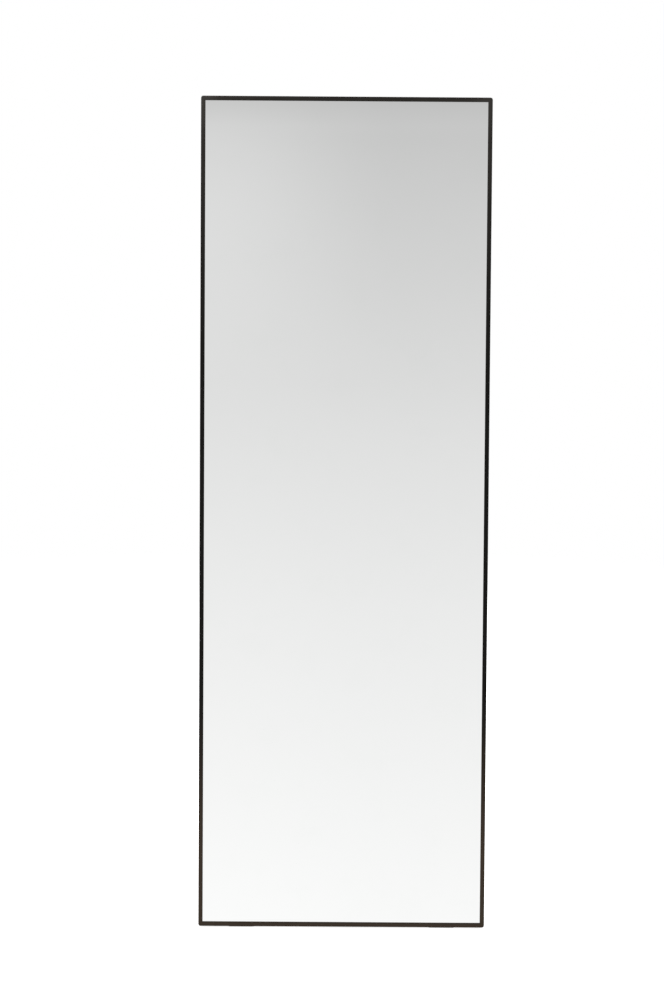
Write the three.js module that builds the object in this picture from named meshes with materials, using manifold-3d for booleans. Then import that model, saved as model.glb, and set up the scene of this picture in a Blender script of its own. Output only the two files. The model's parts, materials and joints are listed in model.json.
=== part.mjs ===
// A full-length floor mirror in a slim dark metal frame, leaning back as it does against a wall.
// Millimetres, +Z up. The glass faces -Y, and the top leans towards +Y.
//
// The frame is a sectional one: a single extruded section, cut at 45 degrees into four rails. The section
// has a front lip that laps the glass, a deep outer wall, and a slotted channel at the back. Steel plates
// in the channel join the rails at the corners and carry the hangers.
import * as THREE from 'three';
import { mergeVertices } from 'three/addons/utils/BufferGeometryUtils.js';
import Module from 'manifold-3d';

const wasm = await Module();
wasm.setup();

// ---- Driving dimensions ------------------------------------------------------------------------

// The whole mirror.
const WIDTH = 635;
const HEIGHT = 1829;
const DEPTH = 25.4;
const LEAN = THREE.MathUtils.degToRad(6);

// The extruded section. "Inward" runs from the outer side towards the glass, "depth" from the face back.
const FACE = 9.5; // width of the rail as seen from the front
const LIP = 1.6; // thickness of the front lip
const WALL = 2; // thickness of every other wall
const EDGE_RADIUS = 0.5;
const CORNER_RADIUS = 5; // the frame's outer corners, eased after mitring
const CHANNEL_INWARD = 18; // inside width of the rear channel
const CHANNEL_DEPTH = 5.4; // inside depth of the rear channel
const SLOT = 7; // the opening between the channel's two rear lips

// What the frame holds.
const GAP = 0.25; // clearance between pieces that touch
const TAPE = 0.8;
const TAPE_WIDTH = 4;
const GLASS = 4;
const GLASS_SEAM = 0.4; // ground edge of the glass
const GLASS_MARGIN = 2.5; // from the glass's edge to the outer wall
const BOARD = 3;
const BLOCK_LENGTH = 60;

// Springs, corner plates and screws.
const SPRING_LENGTH = 60;
const SPRING_WIDTH = 14;
const SPRING_STEEL = 0.6;
const SPRINGS_ON_SHORT_RAIL = 2;
const SPRINGS_ON_LONG_RAIL = 3;
const PLATE_LEG = 58;
const PLATE_STEEL = 2.4;
const PLATE_CHAMFER = 3; // the plates' outer corner is cut off, to clear the rails' mitre
const PRESSURE_STEEL = 1;
const SCREW_RADIUS = 2;
const SCREW_TIP = 0.5; // chamfer at a screw's end
const SET_SCREW_LENGTH = 4.4;
const SET_SCREW_KEY = 2; // across the flats of its hexagon socket
const SET_SCREW_SOCKET = 2; // depth of that socket
const SET_SCREW_FROM_CORNER = 42;

// Hangers: a strap with a rolled eye, a D-shaped wire ring, two screws and a nut plate.
const HANGER_DROP = 450; // from the top of the frame to the ring's axle
const STRAP_WIDTH = 11;
const STRAP_LENGTH = 46;
const STRAP_STEEL = 1.3;
const WIRE_RADIUS = 1.3;
const EYE_CLEARANCE = 0.3;
const EYE_END = THREE.MathUtils.degToRad(205); // how far round the strap is rolled
const RING_HALF_WIDTH = 8.9; // to the wire's centre, so that it stays behind the rail
const RING_STRAIGHT = 6.4; // half of the ring's straight bar
const RING_SHOULDER = 5; // from the bar down to the centre of the round part
const HANGER_SCREWS = [-22, -37]; // heights of the screws below the axle
const HANGER_SCREW_CLEARANCE = 1; // from a screw's tip to the channel's floor
const PAN_HEAD_RADIUS = 3.8;
const PAN_HEAD_HEIGHT = 2.4;
const PAN_HEAD_PROFILE = [[1, 0], [1, 0.45], [0.85, 0.8], [0.55, 1]]; // shares of radius and height
const PAN_HEAD_KEY = 2.5;
const PAN_HEAD_SOCKET = 1.5;
const NUT_PLATE_MARGIN = 9; // from a screw to the end of the nut plate

// Rubber.
const BUMPER_RADIUS = 7;
const BUMPER_HEIGHT = 3;
const BUMPER_PROFILE = [[1, 0], [1, 0.25], [0.92, 0.7], [0.78, 1]]; // shares of radius and height
const BUMPER_FROM_CORNER = 75;
const FOOT_LENGTH = 60;
const FOOT_FROM_SIDE = 95;
const FOOT_FRONT = 9.5; // depths at which the foot starts and ends
const FOOT_BACK = 24;
const FOOT_HEEL = 1.2; // thickness at its back edge
const FOOT_CORNER = 5;

// How finely round shapes are divided, and how far a cutting tool reaches past the piece it cuts.
const SPRING_SEGMENTS = 14;
const EYE_SEGMENTS = 28;
const SCREW_SIDES = 20;
const BUMPER_SIDES = 24;
const HEXAGON = 6;
const WIRE_POINTS = 96; // on the wire's path
const WIRE_STEPS = 60;
const OVERCUT = 1;

// ---- Sizes worked out from them ----------------------------------------------------------------

const reach = CHANNEL_INWARD + 2 * WALL;
const channelFront = DEPTH - CHANNEL_DEPTH - 2 * WALL;
const channelFloor = channelFront + WALL;
const rearLip = (reach - SLOT) / 2;
const slotCentre = reach / 2;
const tapeFront = LIP + GAP;
const glassFront = tapeFront + TAPE + GAP;
const glassBack = glassFront + GLASS;
const boardFront = glassBack + GAP;
const boardBack = boardFront + BOARD;
const glassEdge = WALL + GLASS_MARGIN;
const plateFront = DEPTH - WALL - GAP - PLATE_STEEL;
const pressureFront = channelFloor + GAP;
const plateWidth = CHANNEL_INWARD - 2 * GAP;
const strapBase = DEPTH + GAP;
const eyeInner = WIRE_RADIUS + EYE_CLEARANCE;
const eyeOuter = eyeInner + STRAP_STEEL;
const soleHeel = GAP + FOOT_HEEL;

// ---- Materials ---------------------------------------------------------------------------------

function material(color, roughness, metalness) {
  return new THREE.MeshStandardMaterial({ color, roughness, metalness });
}

const darkAnodised = material(0x2b2723, 0.42, 0.85);
const silveredGlass = material(0xdfe1e0, 0.03, 1);
const blackFoam = material(0x1b1b1b, 0.95, 0);
const blackRubber = material(0x171717, 0.8, 0);
const hardboard = material(0x5b4433, 0.85, 0);
const springSteel = material(0x6d7075, 0.35, 1);
const zincPlate = material(0xaeb1b3, 0.38, 1);
const nickelWire = material(0xc6c3bc, 0.22, 1);

// ---- Solids ------------------------------------------------------------------------------------

function toSolid(geometry) {
  const bare = geometry.clone();
  bare.deleteAttribute('normal');
  bare.deleteAttribute('uv');
  const merged = mergeVertices(bare, 1e-4);
  const vertProperties = new Float32Array(merged.attributes.position.array);
  const triVerts = new Uint32Array(merged.index.array);
  return new wasm.Manifold(new wasm.Mesh({ numProp: 3, vertProperties, triVerts }));
}

function toGeometry(solid) {
  const { vertProperties, triVerts } = solid.getMesh();
  const geometry = new THREE.BufferGeometry();
  geometry.setAttribute('position', new THREE.BufferAttribute(vertProperties, 3));
  geometry.setIndex(new THREE.BufferAttribute(triVerts, 1));
  geometry.computeVertexNormals();
  return geometry;
}

function overlapOf(a, b) {
  return toGeometry(toSolid(a).intersect(toSolid(b)));
}

function cut(body, ...tools) {
  let solid = toSolid(body);
  for (const tool of tools) {
    solid = solid.subtract(toSolid(tool));
  }
  return toGeometry(solid);
}

// A section drawn as (height, depth) and extruded along X, centred on x = 0.
function alongX(section, length, curveSegments = 6) {
  const geometry = new THREE.ExtrudeGeometry(section, { depth: length, bevelEnabled: false, curveSegments });
  geometry.rotateY(-Math.PI / 2);
  geometry.translate(length / 2, 0, 0);
  return geometry;
}

// An outline drawn as (x, z) from the front and extruded between two depths, with an optional ground edge.
function alongY(outline, front, back, seam = 0) {
  const geometry = new THREE.ExtrudeGeometry(outline, {
    depth: back - front - 2 * seam,
    bevelEnabled: seam > 0,
    bevelThickness: seam,
    bevelSize: seam,
    bevelOffset: -seam,
    bevelSegments: 1,
    curveSegments: 12,
  });
  geometry.rotateX(Math.PI / 2);
  geometry.translate(0, back - seam, 0);
  return geometry;
}

function rectangle(left, bottom, right, top) {
  const outline = new THREE.Shape();
  outline.moveTo(left, bottom);
  outline.lineTo(right, bottom);
  outline.lineTo(right, top);
  outline.lineTo(left, top);
  outline.closePath();
  return outline;
}

function roundHole(x, y, radius) {
  return new THREE.Path().absarc(x, y, radius, 0, 2 * Math.PI, true);
}

// A solid turned about Y, from a profile of [radius, y] points.
function turned(profile, sides) {
  const points = profile.map(([radius, y]) => new THREE.Vector2(radius, y));
  return new THREE.LatheGeometry(points, sides);
}

// A hexagon socket for a key, sunk into a face that looks along +Y.
function withSocket(body, face, key, depth) {
  const radius = key / Math.sqrt(3);
  const socket = new THREE.CylinderGeometry(radius, radius, 2 * depth, HEXAGON);
  return cut(body, socket.translate(0, face, 0));
}

function mesh(name, geometry, finish, [x, y, z] = [0, 0, 0]) {
  const piece = new THREE.Mesh(geometry, finish);
  piece.name = name;
  piece.position.set(x, y, z);
  return piece;
}

// ---- Rails -------------------------------------------------------------------------------------

// The extrusion's section, drawn as (inward, depth) from its outer front corner.
function railSection() {
  const section = new THREE.Shape();
  section.moveTo(EDGE_RADIUS, 0);
  section.lineTo(FACE - EDGE_RADIUS, 0);
  section.absarc(FACE - EDGE_RADIUS, EDGE_RADIUS, EDGE_RADIUS, -Math.PI / 2, 0, false);
  section.lineTo(FACE, LIP);
  section.lineTo(WALL, LIP);
  section.lineTo(WALL, channelFront);
  section.lineTo(reach, channelFront);
  section.lineTo(reach, DEPTH);
  section.lineTo(reach - rearLip, DEPTH);
  section.lineTo(reach - rearLip, DEPTH - WALL);
  section.lineTo(reach - WALL, DEPTH - WALL);
  section.lineTo(reach - WALL, channelFloor);
  section.lineTo(WALL, channelFloor);
  section.lineTo(WALL, DEPTH - WALL);
  section.lineTo(rearLip, DEPTH - WALL);
  section.lineTo(rearLip, DEPTH);
  section.lineTo(EDGE_RADIUS, DEPTH);
  section.absarc(EDGE_RADIUS, DEPTH - EDGE_RADIUS, EDGE_RADIUS, Math.PI / 2, Math.PI, false);
  section.lineTo(0, EDGE_RADIUS);
  section.absarc(EDGE_RADIUS, EDGE_RADIUS, EDGE_RADIUS, Math.PI, 1.5 * Math.PI, false);
  return section;
}

// What a pair of mitre cuts leaves of a rail, seen from the front: 45 degree ends that stop half a gap
// short of the corner's diagonal, and outer corners eased to CORNER_RADIUS.
function mitredOutline(length) {
  const half = length / 2;
  const setBack = GAP / Math.SQRT2;
  const turn = Math.asin(setBack / (CORNER_RADIUS * Math.SQRT2));
  const past = reach + OVERCUT;
  const r = CORNER_RADIUS;
  const outline = new THREE.Shape();
  outline.absarc(-half + r, r, r, 1.25 * Math.PI + turn, 1.5 * Math.PI, false);
  outline.absarc(half - r, r, r, 1.5 * Math.PI, 1.75 * Math.PI - turn, false);
  outline.lineTo(half - past - setBack, past);
  outline.lineTo(-half + past + setBack, past);
  return outline;
}

function mitred(section, length) {
  return overlapOf(alongX(section, length), alongY(mitredOutline(length), -OVERCUT, DEPTH + OVERCUT));
}

function tapeSection() {
  return rectangle(FACE - GAP - TAPE_WIDTH, tapeFront, FACE - GAP, tapeFront + TAPE);
}

// A leaf spring: a bowed strip whose ends rest on the board and whose crown bears on the channel.
function springGeometry() {
  const rise = channelFront - boardBack - 2 * GAP - SPRING_STEEL;
  const halfChord = SPRING_LENGTH / 2;
  const radius = (halfChord ** 2 + rise ** 2) / (2 * rise);
  const centre = rise - radius;
  const spread = Math.asin(halfChord / radius);
  const from = Math.PI / 2 - spread;
  const to = Math.PI / 2 + spread;
  const strip = new THREE.Shape();
  strip.absarc(0, centre, radius + SPRING_STEEL, from, to, false);
  strip.absarc(0, centre, radius, to, from, true);
  const geometry = new THREE.ExtrudeGeometry(strip, {
    depth: SPRING_WIDTH,
    bevelEnabled: false,
    curveSegments: SPRING_SEGMENTS,
  });
  geometry.translate(0, boardBack + GAP, glassEdge + GAP);
  return geometry;
}

// One side of the frame with its tape and springs, built as the bottom one and turned into place.
function side(name, length, springs, [x, z], turn) {
  const group = new THREE.Group();
  group.add(mesh(`${name}_rail`, mitred(railSection(), length), darkAnodised));
  group.add(mesh(`${name}_tape`, mitred(tapeSection(), length), blackFoam));
  for (let i = 0; i < springs; i += 1) {
    const along = ((i + 0.5) / springs - 0.5) * (length - 2 * PLATE_LEG);
    group.add(mesh(`${name}_spring_${i + 1}`, springGeometry(), springSteel, [along, 0, 0]));
  }
  group.position.set(x, 0, z);
  group.rotation.y = turn;
  return group;
}

// ---- Corners -----------------------------------------------------------------------------------

// An L-shaped plate in the channels of two rails, with a hole in each leg where a screw is given.
function cornerPlateOutline(holeRadius) {
  const outer = WALL + GAP;
  const inner = outer + plateWidth;
  const outline = new THREE.Shape();
  outline.moveTo(outer + PLATE_CHAMFER, outer);
  outline.lineTo(PLATE_LEG, outer);
  outline.lineTo(PLATE_LEG, inner);
  outline.lineTo(inner, inner);
  outline.lineTo(inner, PLATE_LEG);
  outline.lineTo(outer, PLATE_LEG);
  outline.lineTo(outer, outer + PLATE_CHAMFER);
  outline.closePath();
  if (holeRadius > 0) {
    outline.holes.push(roundHole(SET_SCREW_FROM_CORNER, slotCentre, holeRadius));
    outline.holes.push(roundHole(slotCentre, SET_SCREW_FROM_CORNER, holeRadius));
  }
  return outline;
}

// A headless screw along Y with a hexagon socket in its rear end.
function setScrewGeometry() {
  const profile = [
    [0, 0],
    [SCREW_RADIUS - SCREW_TIP, 0],
    [SCREW_RADIUS, SCREW_TIP],
    [SCREW_RADIUS, SET_SCREW_LENGTH],
    [0, SET_SCREW_LENGTH],
  ];
  return withSocket(turned(profile, SCREW_SIDES), SET_SCREW_LENGTH, SET_SCREW_KEY, SET_SCREW_SOCKET);
}

function corner(name, [x, z], turn) {
  const group = new THREE.Group();
  const threaded = cornerPlateOutline(SCREW_RADIUS + GAP);
  const plate = alongY(threaded, plateFront, plateFront + PLATE_STEEL);
  const pressure = alongY(cornerPlateOutline(0), pressureFront, pressureFront + PRESSURE_STEEL);
  const screwFront = pressureFront + PRESSURE_STEEL + GAP;
  group.add(mesh(`${name}_corner_plate`, plate, zincPlate));
  group.add(mesh(`${name}_pressure_plate`, pressure, springSteel));
  const places = [[SET_SCREW_FROM_CORNER, slotCentre], [slotCentre, SET_SCREW_FROM_CORNER]];
  places.forEach(([along, up], i) => {
    const at = [along, screwFront, up];
    group.add(mesh(`${name}_set_screw_${i + 1}`, setScrewGeometry(), zincPlate, at));
  });
  group.position.set(x, 0, z);
  group.rotation.y = turn;
  return group;
}

// ---- Glass, board and setting blocks -----------------------------------------------------------

function panel(front, back, seam) {
  const half = WIDTH / 2 - glassEdge;
  return alongY(rectangle(-half, glassEdge, half, HEIGHT - glassEdge), front, back, seam);
}

function settingBlock() {
  const section = rectangle(WALL + GAP, glassFront, glassEdge - GAP, boardBack);
  return alongX(section, BLOCK_LENGTH);
}

// ---- Hangers -----------------------------------------------------------------------------------

// The strap, from a section drawn as (height, depth) about the eye: a flat tail and a rolled eye.
function strapGeometry() {
  const bottom = -Math.PI / 2;
  const section = new THREE.Shape();
  section.moveTo(-STRAP_LENGTH, 0);
  section.lineTo(0, 0);
  section.absarc(0, eyeOuter, eyeOuter, bottom, EYE_END, false);
  section.absarc(0, eyeOuter, eyeInner, EYE_END, bottom, true);
  section.lineTo(-STRAP_LENGTH, STRAP_STEEL);
  section.closePath();
  const end = STRAP_WIDTH / 2;
  const plan = new THREE.Shape();
  plan.moveTo(end, eyeOuter + OVERCUT);
  plan.lineTo(-end, eyeOuter + OVERCUT);
  plan.absarc(0, end - STRAP_LENGTH, end, Math.PI, 2 * Math.PI, false);
  const rolled = alongX(section, STRAP_WIDTH, EYE_SEGMENTS);
  const blank = overlapOf(rolled, alongY(plan, -OVERCUT, 2 * eyeOuter + OVERCUT));
  const holes = HANGER_SCREWS.map((z) => {
    const radius = SCREW_RADIUS + GAP;
    const drill = new THREE.CylinderGeometry(radius, radius, 2 * (STRAP_STEEL + OVERCUT), SCREW_SIDES);
    return drill.translate(0, 0, z);
  });
  return cut(blank, ...holes);
}

// The ring: one wire bent to a D round its straight bar, with its butt joint inside the rolled eye.
function ringGeometry() {
  const bend = RING_HALF_WIDTH - RING_STRAIGHT;
  const round = RING_HALF_WIDTH;
  const butt = GAP / 2;
  const loop = new THREE.Path();
  loop.moveTo(butt, 0);
  loop.lineTo(RING_STRAIGHT, 0);
  loop.absarc(RING_STRAIGHT, -bend, bend, Math.PI / 2, 0, true);
  loop.absarc(0, -RING_SHOULDER, round, 0, -Math.PI, true);
  loop.absarc(-RING_STRAIGHT, -bend, bend, Math.PI, Math.PI / 2, true);
  loop.lineTo(-butt, 0);
  const points = loop.getSpacedPoints(WIRE_POINTS).map((p) => new THREE.Vector3(p.x, 0, p.y));
  const section = new THREE.Shape().absarc(0, 0, WIRE_RADIUS, 0, 2 * Math.PI, false);
  return new THREE.ExtrudeGeometry(section, {
    extrudePath: new THREE.CatmullRomCurve3(points, false, 'centripetal'),
    steps: WIRE_STEPS,
    curveSegments: 5,
    bevelEnabled: false,
  });
}

// A pan-head screw along Y, its head at the back, with a hexagon socket.
function panScrewGeometry(tip, seat) {
  const top = seat + PAN_HEAD_HEIGHT;
  const profile = [
    [0, tip],
    [SCREW_RADIUS - SCREW_TIP, tip],
    [SCREW_RADIUS, tip + SCREW_TIP],
    [SCREW_RADIUS, seat],
    ...PAN_HEAD_PROFILE.map(([out, up]) => [out * PAN_HEAD_RADIUS, seat + up * PAN_HEAD_HEIGHT]),
    [0, top],
  ];
  return withSocket(turned(profile, SCREW_SIDES), top, PAN_HEAD_KEY, PAN_HEAD_SOCKET);
}

function nutPlateOutline() {
  const [upper, lower] = HANGER_SCREWS;
  const half = plateWidth / 2;
  const outline = rectangle(-half, lower - NUT_PLATE_MARGIN, half, upper + NUT_PLATE_MARGIN);
  for (const z of HANGER_SCREWS) {
    outline.holes.push(roundHole(0, z, SCREW_RADIUS + GAP));
  }
  return outline;
}

// Everything that hangs the frame on one side. Its origin is on the rail's back, behind the ring's axle.
function hanger(name, x) {
  const group = new THREE.Group();
  const ring = mesh(`${name}_hanger_ring`, ringGeometry(), nickelWire, [0, strapBase + eyeOuter, 0]);
  ring.rotation.x = LEAN; // it hangs plumb while the frame leans
  group.add(mesh(`${name}_hanger_strap`, strapGeometry(), zincPlate, [0, strapBase, 0]));
  group.add(ring);
  const nutPlate = alongY(nutPlateOutline(), plateFront, plateFront + PLATE_STEEL);
  group.add(mesh(`${name}_nut_plate`, nutPlate, zincPlate));
  const screwTip = channelFloor + HANGER_SCREW_CLEARANCE;
  const screwSeat = strapBase + STRAP_STEEL + GAP;
  HANGER_SCREWS.forEach((z, i) => {
    const screw = panScrewGeometry(screwTip, screwSeat);
    group.add(mesh(`${name}_hanger_screw_${i + 1}`, screw, zincPlate, [0, 0, z]));
  });
  group.position.set(x, 0, HEIGHT - HANGER_DROP);
  return group;
}

// ---- Bumpers and feet --------------------------------------------------------------------------

function bumperGeometry() {
  const skin = BUMPER_PROFILE.map(([out, up]) => [out * BUMPER_RADIUS, up * BUMPER_HEIGHT]);
  return turned([[0, 0], ...skin, [0, BUMPER_HEIGHT]], BUMPER_SIDES);
}

// A wedge under the bottom rail, cut so that its sole lies flat on the floor while the frame leans.
function footGeometry() {
  const toe = soleHeel + (FOOT_BACK - FOOT_FRONT) * Math.tan(LEAN);
  const section = new THREE.Shape();
  section.moveTo(-GAP, FOOT_FRONT);
  section.lineTo(-GAP, FOOT_BACK);
  section.lineTo(-soleHeel, FOOT_BACK);
  section.lineTo(-toe, FOOT_FRONT);
  section.closePath();
  const round = FOOT_CORNER;
  const half = FOOT_LENGTH / 2;
  const plan = new THREE.Shape();
  plan.absarc(half - round, FOOT_FRONT + round, round, -Math.PI / 2, 0, false);
  plan.absarc(half - round, FOOT_BACK - round, round, 0, Math.PI / 2, false);
  plan.absarc(-half + round, FOOT_BACK - round, round, Math.PI / 2, Math.PI, false);
  plan.absarc(-half + round, FOOT_FRONT + round, round, Math.PI, 1.5 * Math.PI, false);
  const block = new THREE.ExtrudeGeometry(plan, {
    depth: toe + 2 * OVERCUT,
    bevelEnabled: false,
    curveSegments: 5,
  });
  block.translate(0, 0, -toe - OVERCUT);
  return overlapOf(alongX(section, FOOT_LENGTH), block);
}

// ---- Assembly ----------------------------------------------------------------------------------

const left = -WIDTH / 2;
const right = WIDTH / 2;
const middle = HEIGHT / 2;
const quarter = Math.PI / 2;

const leaning = new THREE.Group();
leaning.add(side('bottom', WIDTH, SPRINGS_ON_SHORT_RAIL, [0, 0], 0));
leaning.add(side('right', HEIGHT, SPRINGS_ON_LONG_RAIL, [right, middle], -quarter));
leaning.add(side('top', WIDTH, SPRINGS_ON_SHORT_RAIL, [0, HEIGHT], 2 * quarter));
leaning.add(side('left', HEIGHT, SPRINGS_ON_LONG_RAIL, [left, middle], quarter));

leaning.add(mesh('mirror_glass', panel(glassFront, glassBack, GLASS_SEAM), silveredGlass));
leaning.add(mesh('backing_board', panel(boardFront, boardBack, 0), hardboard));
leaning.add(mesh('left_setting_block', settingBlock(), blackRubber, [left / 2, 0, 0]));
leaning.add(mesh('right_setting_block', settingBlock(), blackRubber, [right / 2, 0, 0]));

leaning.add(corner('bottom_left', [left, 0], 0));
leaning.add(corner('bottom_right', [right, 0], -quarter));
leaning.add(corner('top_right', [right, HEIGHT], 2 * quarter));
leaning.add(corner('top_left', [left, HEIGHT], quarter));

leaning.add(hanger('left', left + slotCentre));
leaning.add(hanger('right', right - slotCentre));

for (const [row, z] of [['bottom', slotCentre], ['top', HEIGHT - slotCentre]]) {
  for (const [end, x] of [['left', left + BUMPER_FROM_CORNER], ['right', right - BUMPER_FROM_CORNER]]) {
    leaning.add(mesh(`${row}_${end}_bumper`, bumperGeometry(), blackRubber, [x, strapBase, z]));
  }
}

leaning.add(mesh('left_foot', footGeometry(), blackRubber, [left + FOOT_FROM_SIDE, 0, 0]));
leaning.add(mesh('right_foot', footGeometry(), blackRubber, [right - FOOT_FROM_SIDE, 0, 0]));

// Lean the mirror back, set the soles of its feet on z = 0, and centre it front to back.
leaning.rotation.x = -LEAN;
leaning.position.z = FOOT_BACK * Math.sin(LEAN) + soleHeel * Math.cos(LEAN);

const floorMirror = new THREE.Group();
floorMirror.add(leaning);
floorMirror.updateMatrixWorld(true);
const bounds = new THREE.Box3().setFromObject(floorMirror, true);
leaning.position.y = -(bounds.min.y + bounds.max.y) / 2;

export default floorMirror;
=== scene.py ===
# %% [markdown]
# # A leaning floor mirror, piece by piece
# The mirror is a tall glass in a slim, nearly black metal frame. From the front only the glass and
# 9.5 mm of frame show; from behind one sees how it is held together. The packed model already has
# every piece at its true size and place. This script makes each of them again with finer edges and a
# real finish, in the same place, and sets up the studio and the camera.

# %% Load the packed model
import json
import math

import bmesh
import bpy
from mathutils import Matrix, Vector

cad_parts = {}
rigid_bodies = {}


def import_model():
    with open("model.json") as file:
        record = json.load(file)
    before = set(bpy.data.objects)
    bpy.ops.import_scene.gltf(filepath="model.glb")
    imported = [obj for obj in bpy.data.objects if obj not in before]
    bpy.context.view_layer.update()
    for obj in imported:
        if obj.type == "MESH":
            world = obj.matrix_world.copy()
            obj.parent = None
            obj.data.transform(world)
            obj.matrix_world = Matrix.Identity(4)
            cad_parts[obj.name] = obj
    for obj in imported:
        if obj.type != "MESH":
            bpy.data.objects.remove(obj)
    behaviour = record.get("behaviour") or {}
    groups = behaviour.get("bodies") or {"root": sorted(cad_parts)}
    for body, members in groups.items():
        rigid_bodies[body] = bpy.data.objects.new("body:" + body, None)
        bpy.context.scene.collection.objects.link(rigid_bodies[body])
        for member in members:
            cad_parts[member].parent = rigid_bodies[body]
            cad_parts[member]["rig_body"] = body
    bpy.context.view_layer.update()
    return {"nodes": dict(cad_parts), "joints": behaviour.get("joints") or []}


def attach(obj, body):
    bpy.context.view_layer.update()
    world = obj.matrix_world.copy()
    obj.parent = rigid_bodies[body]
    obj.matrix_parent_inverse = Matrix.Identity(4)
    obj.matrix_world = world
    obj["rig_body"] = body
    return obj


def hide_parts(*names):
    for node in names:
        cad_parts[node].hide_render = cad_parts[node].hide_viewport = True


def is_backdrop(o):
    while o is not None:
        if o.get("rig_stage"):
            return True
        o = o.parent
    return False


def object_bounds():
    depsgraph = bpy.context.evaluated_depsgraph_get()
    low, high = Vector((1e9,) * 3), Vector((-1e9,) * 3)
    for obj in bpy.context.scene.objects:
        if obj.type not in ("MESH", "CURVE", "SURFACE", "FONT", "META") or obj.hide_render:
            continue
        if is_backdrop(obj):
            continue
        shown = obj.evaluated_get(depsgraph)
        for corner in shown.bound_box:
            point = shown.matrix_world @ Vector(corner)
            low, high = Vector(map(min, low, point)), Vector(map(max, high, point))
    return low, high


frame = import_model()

# %% [markdown]
# ## A bench to work on
# Nothing on this mirror is parallel to the floor, because it leans. It could be modelled in its
# leaning place, with a sine in every number. It is easier to stand it upright on a bench, work in
# millimetres there, and lean each finished piece at the end with one matrix. On the bench X runs to
# the right, Y is the depth behind the frame's face, and Z is the height above its bottom edge.

# %% The bench, measured from the rails
MM = 0.001
LEAN = math.radians(6)
SIDES = ("bottom", "right", "top", "left")


def measured(names):
    """The lowest and highest corner of some packed pieces once the lean is taken out, in metres."""
    upright = Matrix.Rotation(LEAN, 3, "X")
    points = [upright @ v.co for name in names for v in frame["nodes"][name].data.vertices]
    low = Vector(min(p[axis] for p in points) for axis in range(3))
    high = Vector(max(p[axis] for p in points) for axis in range(3))
    return low, high


rails_low, rails_high = measured([f"{side}_rail" for side in SIDES])
WIDTH, DEPTH, HEIGHT = (rails_high - rails_low) / MM
bench_origin = Vector((0, rails_low.y, rails_low.z))
LEANING = Matrix.Rotation(-LEAN, 4, "X") @ Matrix.Translation(bench_origin) @ Matrix.Scale(MM, 4)
print(f"the frame is {WIDTH:.1f} x {HEIGHT:.1f} mm and {DEPTH:.1f} mm deep")


# %% Where a packed piece is on the bench
def on_bench(name):
    """The lowest and highest corner of one packed piece on the bench, in millimetres."""
    low, high = measured([name])
    return (low - bench_origin) / MM, (high - bench_origin) / MM


for name in ("mirror_glass", "backing_board"):
    low, high = on_bench(name)
    print(f"{name}: from {low.y:.2f} to {high.y:.2f} mm behind the face")

# %% [markdown]
# ## Shader maths as plain expressions
# A material is a graph of nodes. Adding and linking each Math node by hand is long to write and
# hard to read. This small class wraps a node's output, so that `1 - mask` or `0.4 + 0.1 * grain`
# adds the nodes by itself. One method, `node`, adds any other kind of node.


# %% The classes that build a node graph
class Value:
    """One output of a node. Arithmetic on it adds Math nodes."""

    def __init__(self, graph, socket):
        self.graph = graph
        self.socket = socket

    def maths(self, operation, first, second):
        return self.graph.node("ShaderNodeMath", {"operation": operation}, {0: first, 1: second})

    def __add__(self, other):
        return self.maths("ADD", self, other)

    def __radd__(self, other):
        return self.maths("ADD", other, self)

    def __sub__(self, other):
        return self.maths("SUBTRACT", self, other)

    def __rsub__(self, other):
        return self.maths("SUBTRACT", other, self)

    def __mul__(self, other):
        return self.maths("MULTIPLY", self, other)

    def __rmul__(self, other):
        return self.maths("MULTIPLY", other, self)


class Graph:
    """The node graph of a material or of the world."""

    def __init__(self, owner):
        owner.use_nodes = True
        self.tree = owner.node_tree
        self.tree.nodes.clear()

    def node(self, kind, settings=None, sockets=None, out=0):
        """Adds a node. Its settings go in first, then each socket gets a value or a link."""
        made = self.tree.nodes.new(kind)
        for key, value in (settings or {}).items():
            if key == "stops":
                self.set_stops(made.color_ramp, value)
            else:
                setattr(made, key, value)
        for key, value in (sockets or {}).items():
            socket = self.find(made.inputs, key)
            if isinstance(value, Value):
                self.tree.links.new(value.socket, socket)
            else:
                socket.default_value = value
        return Value(self, self.find(made.outputs, out)) if len(made.outputs) else made

    def find(self, sockets, key):
        if isinstance(key, int):
            return sockets[key]
        return next(s for s in sockets if key in (s.identifier, s.name))

    def set_stops(self, ramp, stops):
        for _ in stops[2:]:
            ramp.elements.new(0.5)
        for element, (place, tone) in zip(ramp.elements, stops):
            element.position = place
            element.color = (*tone, 1)


print("a graph can add", ", ".join(m for m in vars(Graph) if not m.startswith("_")))

# %% [markdown]
# ## Patterns that stay on the piece
# Every pattern reads Object coordinates, so it stays on the piece from any side and in any pose.
# The pieces lie at the object's origin in metres, so a noise of scale 1000 has grains of about a
# millimetre. A drawn or extruded metal has lines along its length. They come from the same noise
# with its space squeezed along one axis, which a Mapping node does. The lines have to follow the
# leaning pieces, so another Mapping node takes the lean out first, and then the piece's own turn.


# %% Helpers for patterns and mixed colours
def place_on_piece(graph, turn=0.0, scale=(1, 1, 1)):
    """Object coordinates set upright as on the bench, turned about the depth, and then scaled."""
    coordinates = graph.node("ShaderNodeTexCoord", out="Object")
    posture = Matrix.Rotation(-LEAN, 3, "X") @ Matrix.Rotation(turn, 3, "Y")
    sockets = {"Vector": coordinates, "Rotation": posture.to_euler()}
    straight = graph.node("ShaderNodeMapping", {"vector_type": "TEXTURE"}, sockets)
    return graph.node("ShaderNodeMapping", None, {"Vector": straight, "Scale": scale})


def part_of(graph, vector, axis):
    """One coordinate of a vector: X, Y or Z."""
    return graph.node("ShaderNodeSeparateXYZ", None, {"Vector": vector}, out=axis)


def noise(graph, where, scale, detail=3.0, roughness=0.5):
    sockets = {"Vector": where, "Scale": scale, "Detail": detail, "Roughness": roughness}
    return graph.node("ShaderNodeTexNoise", None, sockets)


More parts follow.
